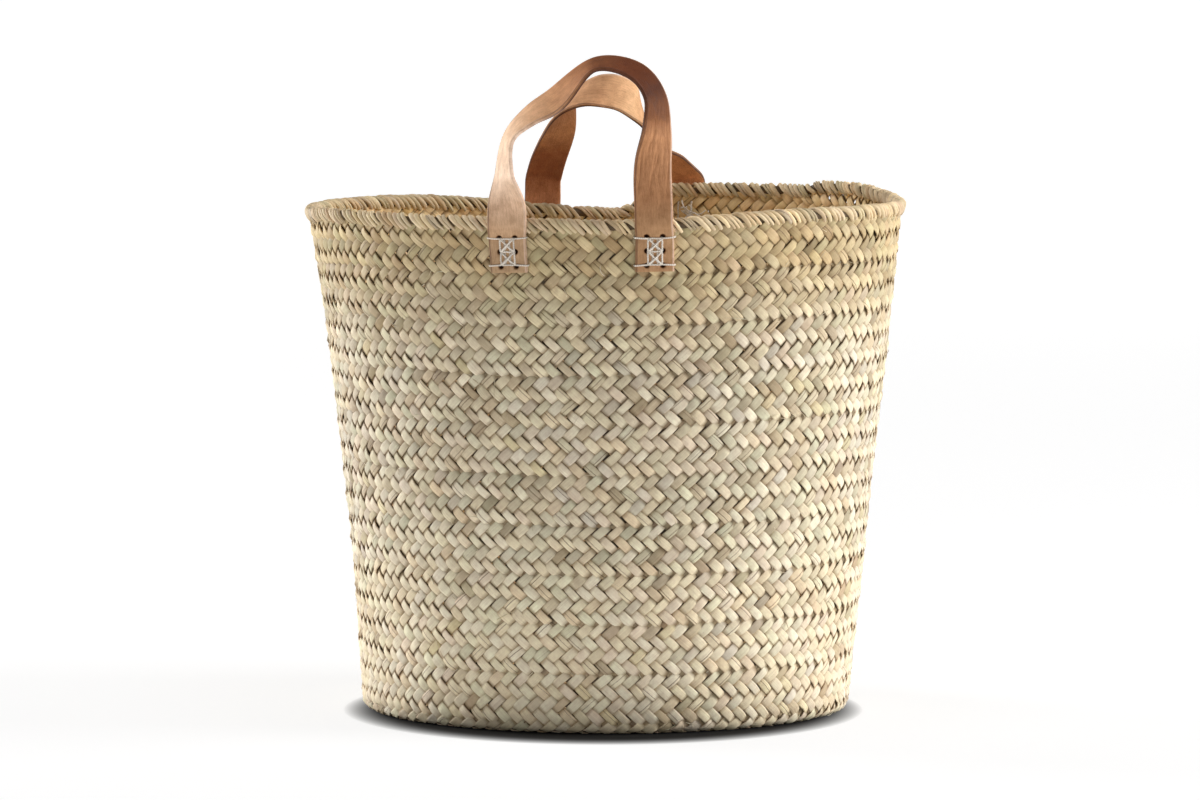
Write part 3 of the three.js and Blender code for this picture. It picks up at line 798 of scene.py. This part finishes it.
def end_stations(handle, x, turn):
    """Centre, width direction and outward normal from a strap's sewn end up to its flex line."""
    spot = sewn_frame(handle, x)
    wall = np.array([in_frame(spot, 0, SEWN_TOP, OUTER_FACE), spot[1] * turn, spot[3]])
    axis = flex_axis(handle)
    straight = np.array([[x, axis[1], axis[2]], [turn, 0, 0], [0, handle["side"], 0]])
    made = [(in_frame(spot, 0, SEWN_END, OUTER_FACE), *wall[1:])]
    # Over the rim binding the leather leaves the wall in a soft curve
    for up, out in LIFTS:
        place_now, wide, normal = wall + (straight - wall) * out
        place_now[2] = wall[0, 2] + (axis[2] - wall[0, 2]) * up
        made.append((place_now, wide, normal))
    return made


LOOP_STEPS = 241


def loop_stations(handle):
    axis = flex_axis(handle)
    lean = math.radians(handle["lean"])
    points = np.array([(handle["left"], GAP / 2, 0, 0), *handle["route"], (handle["right"], GAP / 2, 0, 0)])
    path = curve_through(points[:, :3], LOOP_STEPS)
    turns = np.radians(curve_through(points[:, 3:], LOOP_STEPS)[:, 0])
    turns[0] = turns[-1] = 0

    def to_world(v):
        return np.array([
            v[0], handle["side"] * (v[2] * math.cos(lean) - v[1] * math.sin(lean)),
            v[1] * math.cos(lean) + v[2] * math.sin(lean),
        ])

    ways = np.gradient(path, axis=0)
    ways[:, 2] = 0
    ways[0], ways[-1] = (0, 1, 0), (0, -1, 0)
    made = []
    for point, way, turn in zip(path, unit(ways), turns):
        aside = np.array([-way[1], way[0], 0])
        straight = np.array([0.0, 0, 1])
        normal = straight * math.cos(turn) + aside * math.sin(turn)
        wide = aside * math.cos(turn) - straight * math.sin(turn)
        made.append((to_world(point) + axis, to_world(wide), to_world(normal)))
    return made


FINE_STEP, COARSE_STEP = 0.5, 1.7
SOFTENING, KERNEL_REACH = 2.6, 16


def strap_stations(handle):
    """Smooth centre, width direction, normal and length of a strap, finely spaced at its sewn ends."""
    stations = end_stations(handle, handle["left"], -1) + loop_stations(handle)[1:-1]
    stations += end_stations(handle, handle["right"], 1)[::-1]
    values = np.array([np.concatenate(s) for s in stations])
    along = run_lengths(values[:, :3])
    even = np.arange(0, along[-1], FINE_STEP)
    values = interp_rows(even, along, values)
    kernel = np.exp(-0.5 * (np.arange(-KERNEL_REACH, KERNEL_REACH + 1) * FINE_STEP / SOFTENING) ** 2)
    padded = np.pad(values, ((KERNEL_REACH, KERNEL_REACH), (0, 0)), mode="edge")
    soft = np.stack([np.convolve(column, kernel / kernel.sum(), "valid") for column in padded.T], -1)
    loose = smooth(np.minimum(even, even[-1] - even), SEWN_LENGTH - 2.5, SEWN_LENGTH + 1.5)[:, None]
    values = values * (1 - loose) + soft * loose
    total, fine = even[-1], SEWN_LENGTH + 2
    places = np.concatenate([
        np.arange(0, fine, FINE_STEP), np.arange(fine, total - SEWN_LENGTH - 2, COARSE_STEP),
        np.arange(total - SEWN_LENGTH - 2, total, FINE_STEP), [total],
    ])
    values = interp_rows(places, even, values)
    centre, wide, normal = values[:, :3], unit(values[:, 3:6]), values[:, 6:]
    normal = unit(normal - wide * (normal * wide).sum(1, keepdims=True))
    return centre, wide, normal, places, total


# Colours of the straps' painted lit and shaded cut edges
LEATHER_EDGE_LIT, LEATHER_EDGE_SHADED = linear((244, 214, 192), (92, 60, 48))
# The flesh side, from a strap's left end to its right, with painted light and shade along it
FLESH_SHARES = [0, 0.12, 0.19, 0.26, 0.33, 0.42, 0.6, 0.8, 1]
FLESH_TONES_AND_LIGHT = linear(
    (222, 162, 116), (214, 148, 106), (156, 96, 60), (168, 106, 68), (216, 158, 112),
    (180, 130, 92), (176, 120, 82), (226, 160, 112), (226, 160, 112),
)
CREASE_COUNT, CREASE_DEPTH, CREASE_HALF_WIDTH = 12, 0.42, 0.8
FACE_COLUMNS, BACK_COLUMNS, EDGE_ROUND = 46, 12, 0.75
PIT_DEPTH, PIT_RADIUS, HOLE_DARK_RADIUS = 2.3, 1.75, 2.0
ROW_DEPTH, ROW_HALF_WIDTH, CUP_DEPTH = 0.3, 0.9, 0.5


def make_strap(handle, grain_shares, grain_light_and_shade):
    """The grain side's colours, painted light and shade among them, go from the strap's left end to its
    right.
    """
    centre, wide, normal, along, total = strap_stations(handle)
    half = STRAP_WIDTH / 2
    face = np.linspace(-half + EDGE_ROUND, half - EDGE_ROUND, FACE_COLUMNS)
    back = np.linspace(half - EDGE_ROUND, -half + EDGE_ROUND, BACK_COLUMNS)
    depths = (-0.22, -0.8, -STRAP_THICKNESS + 0.8, -STRAP_THICKNESS + 0.22)
    rim = list(zip((half - 0.22, half, half, half - 0.22), depths))
    other = [(-u, v) for u, v in rim[::-1]]
    section = np.array([(u, 0.0) for u in face] + rim + [(u, -STRAP_THICKNESS) for u in back] + other)
    kind = np.repeat([1.0, 0.0, -1.0, 0.0], [FACE_COLUMNS, len(rim), BACK_COLUMNS, len(rim)])
    count, sides = len(along), len(section)
    x, depth = (np.broadcast_to(values, (count, sides)).copy() for values in section.T)
    on_face = kind > 0
    share = along / total
    # Pits at the needle holes, and leather pressed down under the thread
    # Painted shade darkens the needle holes, and the creases are darker too
    hole_and_crease_dark = np.zeros((count, sides))
    for v in STITCH_ROWS:
        for u in COLUMNS:
            # The thread pulls each hole open, away from the middle of the sewing
            pulled_u, pulled_v = u + 0.6 * np.sign(u), v + 1.1 * np.sign(v - STITCH_PITCH)
            for hand, length in ((-1, SEWN_END - pulled_v), (1, total - SEWN_END + pulled_v)):
                off = np.hypot(x - hand * pulled_u, (along - length)[:, None])
                depth -= PIT_DEPTH * np.exp(-(off / PIT_RADIUS) ** 4) * on_face
                hole_and_crease_dark = np.maximum(hole_and_crease_dark, np.exp(-(off / HOLE_DARK_RADIUS) ** 4))
    near_end = np.minimum(along, total - along)
    for v in STITCH_ROWS[::2]:
        row = np.exp(-((near_end - (SEWN_END - v)) / ROW_HALF_WIDTH) ** 2)[:, None]
        depth -= ROW_DEPTH * row * on_face
    cup = smooth(near_end, SEWN_LENGTH + 8, SEWN_LENGTH + 40)[:, None] * CUP_DEPTH
    depth -= cup * (x / half) ** 2
    x *= (1 + 0.012 * np.sin(along / 17 + handle["side"]))[:, None]
    # Creases from bending, which start close together and spread down the leg
    low, high = handle["creased"]
    fall = np.clip((share - low) / (high - low), 0, 1)
    for place_across in np.linspace(-0.8, 0.8, CREASE_COUNT):
        top, foot = random.uniform(low, low + 0.08), random.uniform(high - 0.14, high)
        fade = smooth(share, top, top + 0.03) * (1 - smooth(share, foot - 0.05, foot))
        line = half * (place_across + random.normal(0, 0.05)) * (0.7 + 0.35 * fall)
        line = line + 1.2 * np.sin(along / random.uniform(4, 9) + random.uniform(0, TURN))
        near_line = np.exp(-((x - line[:, None]) / CREASE_HALF_WIDTH) ** 2)
        groove = fade[:, None] * near_line * random.uniform(0.35, 1)
        depth -= CREASE_DEPTH * groove * on_face
        hole_and_crease_dark = np.maximum(hole_and_crease_dark, 0.3 * groove)
    # The cut ends are a little rounded
    sink = 0.3 * np.exp(-(near_end / 0.6) ** 2)[:, None]
    depth -= sink * np.sign(depth + STRAP_THICKNESS / 2)
    points = centre[:, None] + wide[:, None] * x[..., None] + normal[:, None] * depth[..., None]
    at = np.arange(count * sides).reshape(count, sides)
    faces = [ring_quads(at)[:, ::-1], at[:1], at[-1:, ::-1]]
    piece = make_mesh(f"{handle['name']}_strap", points.reshape(-1, 3), faces)
    grain = interp_rows(share, grain_shares, grain_light_and_shade)[:, None]
    flesh = interp_rows(share, FLESH_SHARES, FLESH_TONES_AND_LIGHT)[:, None]
    tint = np.where((kind < 0)[:, None], flesh, grain)
    # Painted light and shade: one cut edge and the face's margin beside it are coloured lit, the other
    # shaded, and they change places along the strap
    turned = smooth(share, *handle["lit_edge_turns"])[:, None]
    pale = np.where(section[:, 0] > 0, turned, 1 - turned)[..., None]
    edge_light_and_shade = LEATHER_EDGE_LIT * pale + LEATHER_EDGE_SHADED * (1 - pale)
    margin_light_reach = 0.75 * smooth(np.abs(section[:, 0]), half - 1.7, half - 0.9)
    reach = np.where(kind == 0, smooth(-section[:, 1], 0.3, 1.2), margin_light_reach)
    reach = np.where(kind < 0, 0, reach)[:, None]
    tag(piece, "tint", "FLOAT_COLOR", tint * (1 - reach) + edge_light_and_shade * reach)
    strap = np.stack(np.broadcast_arrays(along[:, None], section[:, 0], kind), -1)
    tag(piece, "strap", "FLOAT_VECTOR", strap)
    tag(piece, "hole_and_crease_dark", "FLOAT", hole_and_crease_dark)
    return piece


def leather_material():
    """Vegetable-tanned leather: pores, lengthwise creases, a fibrous flesh side, needle holes darkened by
    painted shade.
    """
    s = Shader("leather", Specular_IOR_Level=0.16)
    spot = s.attribute("strap")
    along, across, side = s.split(spot)
    pores = s.noise(spot, 1.7, 3.0, 0.6)
    mottle = s.noise(spot, 0.12, 4.0, 0.6)
    crease = s.noise(s.join(s.product(along, 0.06), s.product(across, 0.55), 2.0), 1.0, 4.0, 0.62)
    crease_line = s.remap(s.math("ABSOLUTE", s.math("SUBTRACT", crease, 0.5)), 0.0, 0.05, 1.0, 0.0)
    flesh = s.remap(side, -0.9, -0.2, 1.0, 0.0)
    hair = s.noise(s.join(s.product(along, 0.5), s.product(across, 2.2), 5.0), 1.0, 5.0, 0.7)
    tone = s.product(
        s.vary(mottle, 0.84, 1.12), s.vary(pores, 0.93, 1.05), s.remap(crease_line, 0.0, 1.0, 1.0, 0.86),
    )
    tone = s.math("ADD", tone, s.product(flesh, s.vary(hair, -0.3, 0.16)))
    # Painted shade in the needle holes; the creases are darker too
    tone = s.product(tone, s.remap(s.attribute("hole_and_crease_dark", "Fac"), 0.15, 0.75, 1.0, 0.06))
    color = s.tinted(s.join(tone, s.math("POWER", tone, 1.25), s.math("POWER", tone, 1.5)))
    height = s.math("ADD", s.product(pores, 0.35), s.product(crease_line, -0.5))
    height = s.math("ADD", height, s.product(hair, 0.9, flesh))
    rough = s.remap(s.math("ADD", mottle, s.product(flesh, 0.6)), 0.3, 1.0, 0.52, 0.9)
    return s.finish(color, rough, height, 0.0005, 0.5)


def thread_material():
    """Waxed thread, laid from two twisted strands."""
    s = Shader("waxed_thread", Specular_IOR_Level=0.45)
    spot = s.attribute("fibre")
    along, across, _ = s.split(spot)
    lay = s.math("SINE", s.math("ADD", s.product(along, 5.0), s.product(across, 2.4)))
    fuzz = s.noise(spot, 3.0, 2.0, 0.6)
    tone = s.product(s.remap(lay, -1.0, 1.0, 0.86, 1.12), s.vary(fuzz, 0.9, 1.08))
    return s.finish(s.tinted(s.join(tone, tone, tone)), s.vary(fuzz, 0.5, 0.75), lay, 0.00015, 0.6)


leather = leather_material()
thread = thread_material()


# The grain side from left end to right, with painted light and shade: pale where the front's left leg turns
# to the lamp, dark over the front's grip, painted shade with some darkening from handling, and on the back a
# painted highlight at the fold and painted shade where the ribbon turns away
FRONT_SHARES = [0, 0.08, 0.14, 0.2, 0.27, 0.34, 0.4, 0.46, 0.5, 0.56, 0.64, 0.69, 0.73, 0.85, 0.93, 1]
FRONT_TONES_AND_LIGHT = linear(
    (192, 158, 122), (200, 162, 126), (244, 204, 170), (255, 224, 196), (254, 218, 184), (238, 188, 146),
    (212, 156, 112), (180, 122, 80), (136, 83, 51), (108, 58, 32), (82, 41, 19), (122, 74, 42),
    (180, 128, 88), (184, 132, 92), (190, 148, 108), (194, 150, 110),
)
BACK_SHARES = [0, 0.4, 0.52, 0.6, 0.65, 0.69, 0.76, 1]
BACK_TONES_AND_LIGHT = linear(
    (204, 158, 120), (208, 156, 114), (212, 160, 118), (232, 186, 140),
    (204, 154, 110), (112, 74, 46), (184, 136, 96), (200, 154, 116),
)

for handle, shares, tones in ((FRONT, FRONT_SHARES, FRONT_TONES_AND_LIGHT), (BACK, BACK_SHARES, BACK_TONES_AND_LIGHT)):
    name = handle["name"]
    strap = make_strap(handle, shares, tones)
    strap.data.materials.append(leather)
    axis = flex_axis(handle)
    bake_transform(strap)
    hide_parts(f"{name}_loop", f"{name}_left_end", f"{name}_right_end")


THREAD_TINT = linear(244, 234, 220)
# Thread from one row of holes to the next, as the two places and how far it lifts
PASSES = [
    ((LEFT, 0), (LEFT, STITCH_PITCH), 0.5), ((RIGHT, 0), (RIGHT, STITCH_PITCH), 0.5),
    ((LEFT, 0), (RIGHT, STITCH_PITCH), 0.8), ((RIGHT, 0), (LEFT, STITCH_PITCH), 1.1),
    ((RIGHT - 0.5, 0.3), (LEFT + 0.6, STITCH_PITCH), 0.7),
]
# Earlier passes, which are lower and greyer
EARLIER_PASSES = [
    ((LEFT + 1.3, 0.4), (RIGHT - 2.2, STITCH_PITCH - 0.4), 0.2),
    ((RIGHT - 1.3, 0.5), (LEFT + 2.3, STITCH_PITCH - 0.5), 0.2),
    ((LEFT + 3.4, 0.4), (LEFT + 3.0, STITCH_PITCH - 0.2), 0.2),
    ((RIGHT - 3.4, 0.3), (RIGHT - 3.0, STITCH_PITCH - 0.3), 0.2),
]
TAIL_COUNT, TAIL_STEPS = 12, 14


def on_strap(spot, places):
    return np.array([in_frame(spot, *p) for p in places])


def stitch(spot, row, start, stop, lift):
    """A length of thread on the strap's face between two places, dipping into the holes at its ends."""
    t = np.linspace(0, 1, 12)[:, None]
    start, stop = (np.array([u, row + v], float) for u, v in (start, stop))
    flat = start + (stop - start) * t
    height = OUTER_FACE - 0.2 + lift * np.sin(np.pi * t[:, 0]) ** 0.35
    height[[0, -1]] -= 1.1
    flat += random.normal(0, 0.08, flat.shape)
    return on_strap(spot, np.column_stack([flat, height]))


def make_stitching(handle, x, name):
    spot = sewn_frame(handle, x)
    top, middle, bottom = STITCH_ROWS
    paths, under = [], []
    # Bars over the strap's edges, which go on into the wall
    for row, dip in ((top, -0.6), (bottom, 0.5)):
        for hand, column in zip((-1, 1), COLUMNS):
            edge = hand * (STRAP_WIDTH / 2 + 0.35)
            bar = [
                (column, row, OUTER_FACE - 1.2), (column + hand * 0.8, row, OUTER_FACE + 0.1),
                (edge * 0.8, row + dip * 0.6, OUTER_FACE + 0.28), (edge, row + dip, OUTER_FACE - 0.15),
                (edge + hand * 0.35, row + dip, OUTER_FACE - 1.6), (edge + hand * 0.2, row + dip, 0.0),
            ]
            paths.append(curve_through(on_strap(spot, bar), 16))
    for row in STITCH_ROWS:
        paths.append(stitch(spot, row, (LEFT, 0), (RIGHT, 0), 0.55))
    for row in (top, middle):
        paths += [stitch(spot, row, *one) for one in PASSES]
        under += [stitch(spot, row, *one) for one in EARLIER_PASSES]
    # Inside the wall: the runs between holes, a knot, and its trimmed tails
    inside = -PLAIT_THICKNESS - 0.4
    for column in COLUMNS:
        for row in (top, middle):
            end = row + STITCH_PITCH
            run = [
                (column, row, inside + 1), (column, row + 1, inside - 0.2), (column, end - 1, inside - 0.2),
                (column, end, inside + 1),
            ]
            paths.append(curve_through(on_strap(spot, run), 12))
    t = np.linspace(0, 1, 60)
    paths.append(on_strap(spot, np.stack([
        RIGHT + 1.7 * np.cos(t * 17) * (1 - 0.3 * t), middle + 1.5 * np.sin(t * 13 + 0.4),
        inside - 1.0 - 1.3 * np.sin(t * 9) ** 2,
    ], -1)))
    rods = [tube(path, THREAD_RADIUS * random.uniform(0.86, 1.08), 7) for path in paths]
    sway = 0.5 * np.sin(np.linspace(0, 5, TAIL_STEPS))
    for _ in range(TAIL_COUNT):
        heading = random.uniform(0, TURN)
        turns = heading + random.normal(0, 1.6) * np.linspace(0, 1, TAIL_STEPS) + sway
        reach = random.uniform(6, 13) / TAIL_STEPS
        u = RIGHT + np.cumsum(np.cos(turns)) * reach
        v = middle + np.cumsum(np.sin(turns)) * reach
        n = inside - 0.9 - random.uniform(0.5, 5) * np.sin(np.linspace(0, 2.6, TAIL_STEPS))
        rods.append(tube(on_strap(spot, zip(u, v, n)), THREAD_RADIUS * 0.75, 6))
    tints = [THREAD_TINT * random.uniform(0.86, 1.0) for _ in rods]
    rods += [tube(path, THREAD_RADIUS * 0.8, 6) for path in under]
    tints += [THREAD_TINT * random.uniform(0.62, 0.82) for _ in under]
    lay(f"{name}_thread", rods, tints, thread, "waxed_thread", f"{name}_stitching")


for handle in (FRONT, BACK):
    for hand in ("left", "right"):
        make_stitching(handle, handle[hand], f"{handle['name']}_{hand}")

# Camera at the photograph's angle: the sight line meets the axis at a named height
CAMERA_DISTANCE, CAMERA_HEIGHT, CAMERA_TURN = 5.0, 0.712, math.radians(4.08)
AIM_HEIGHT, AIM_ACROSS, FOCAL_LENGTH = 0.2214, -0.0036, 209.3
right = np.array([math.cos(CAMERA_TURN), math.sin(CAMERA_TURN), 0])
seat = np.array([
    CAMERA_DISTANCE * math.sin(CAMERA_TURN), -CAMERA_DISTANCE * math.cos(CAMERA_TURN), CAMERA_HEIGHT,
])
aim = right * AIM_ACROSS + np.array([0, 0, AIM_HEIGHT])
lens = bpy.data.cameras.new("camera")
lens.lens, lens.sensor_width, lens.sensor_fit = FOCAL_LENGTH, 36, "HORIZONTAL"
lens.clip_start, lens.clip_end = 0.1, 100


def aimed(name, data, at, to):
    made = add_object(name, data)
    made.location = at
    made.rotation_mode = "QUATERNION"
    made.rotation_quaternion = (Vector(to) - Vector(at)).to_track_quat("-Z", "Y")
    return made


bpy.context.scene.camera = aimed("camera", lens, seat, aim)

# Name, place, what it faces, size, power and colour
LIGHTS = [
    ("left_softbox", (-2.5, 1.05, 0.9), (0, 0, 0.2), (1.0, 1.5), 66, (1, 0.99, 0.985)),
    ("right_softbox", (2.3, 0.05, 1.0), (0, 0, 0.2), (1.0, 1.5), 56, (1, 0.995, 1)),
    ("front_fill", (-0.3, -3.6, 1.9), (0, 0, 0.25), (1.6, 1.2), 6, (1, 0.98, 0.95)),
    ("top_light", (0.1, -0.4, 3.0), (0, 0.1, 0), (2.0, 1.6), 7, (1, 1, 1)),
    ("mouth_fill", (0.05, -0.12, 1.3), (0.05, 0.17, 0.3), (0.5, 0.4), 3.0, (1, 0.99, 0.98)),
]
for name, at, to, size, power, color in LIGHTS:
    data = bpy.data.lights.new(name, "AREA")
    data.shape, (data.size, data.size_y) = "RECTANGLE", size
    data.energy, data.color = power, color
    aimed(name, data, at, to)

world = bpy.data.worlds.new("studio")
bpy.context.scene.world = world
world.use_nodes = True
world.node_tree.nodes["Background"].inputs[0].default_value = (1, 1, 1, 1)
world.node_tree.nodes["Background"].inputs[1].default_value = 0.05
bpy.context.scene.view_settings.view_transform = "Standard"

# A wide pale floor that curves up far off on all sides and glows, more far off, except in a painted shadow
# under and just in front of the basket
SHADE_HALF_WIDTH, SHADE_HALF_DEPTH, SHADE_FORWARD = 0.155, 0.149, 0.019
SHADE_SOFTNESS, SHADE_CURVE = 0.21, 2.6
PAPER_GREY, PAPER_GLOW, FAR_GLOW, FAR_START, FAR_END = 0.24, 0.79, 0.99, 0.4, 4.0
SWEEP = [(0.01, 0.0), (24.0, 0.0), (25.0, 0.1), (25.4, 0.5), (25.5, 3.5)]
headings = TURN * np.arange(96) / 96
edge_points = [(r * np.cos(turn), r * np.sin(turn), z) for r, z in SWEEP for turn in headings]
at = np.arange(len(edge_points)).reshape(len(SWEEP), -1)
floor = make_mesh("studio_floor", np.array(edge_points) / MM, [ring_quads(at), at[:1]])
paper = Shader("studio_paper", Roughness=0.9, Specular_IOR_Level=0.1)
width, depth, _ = paper.split(paper.add("ShaderNodeTexCoord").outputs["Object"])
# The painted shadow: an ellipse set a little forward of the basket, dark and not glowing inside, softening
# outwards
across = paper.math("DIVIDE", width, SHADE_HALF_WIDTH)
deep = paper.math("DIVIDE", paper.math("ADD", depth, SHADE_FORWARD), SHADE_HALF_DEPTH)
clear = paper.remap(paper.distance(across, deep), 0.99, 1.0 + SHADE_SOFTNESS)
clear = paper.math("POWER", clear, SHADE_CURVE)
grey = paper.remap(clear, 0.0, 1.0, 0.02, PAPER_GREY)
away = paper.distance(width, depth)
glow = paper.product(clear, paper.remap(away, FAR_START, FAR_END, PAPER_GLOW, FAR_GLOW))
paper.links.new(paper.join(grey, grey, grey), paper.base.inputs["Base Color"])
paper.links.new(glow, paper.base.inputs["Emission Strength"])
paper.base.inputs["Emission Color"].default_value = (1, 1, 1, 1)
floor.data.materials.append(paper.material)
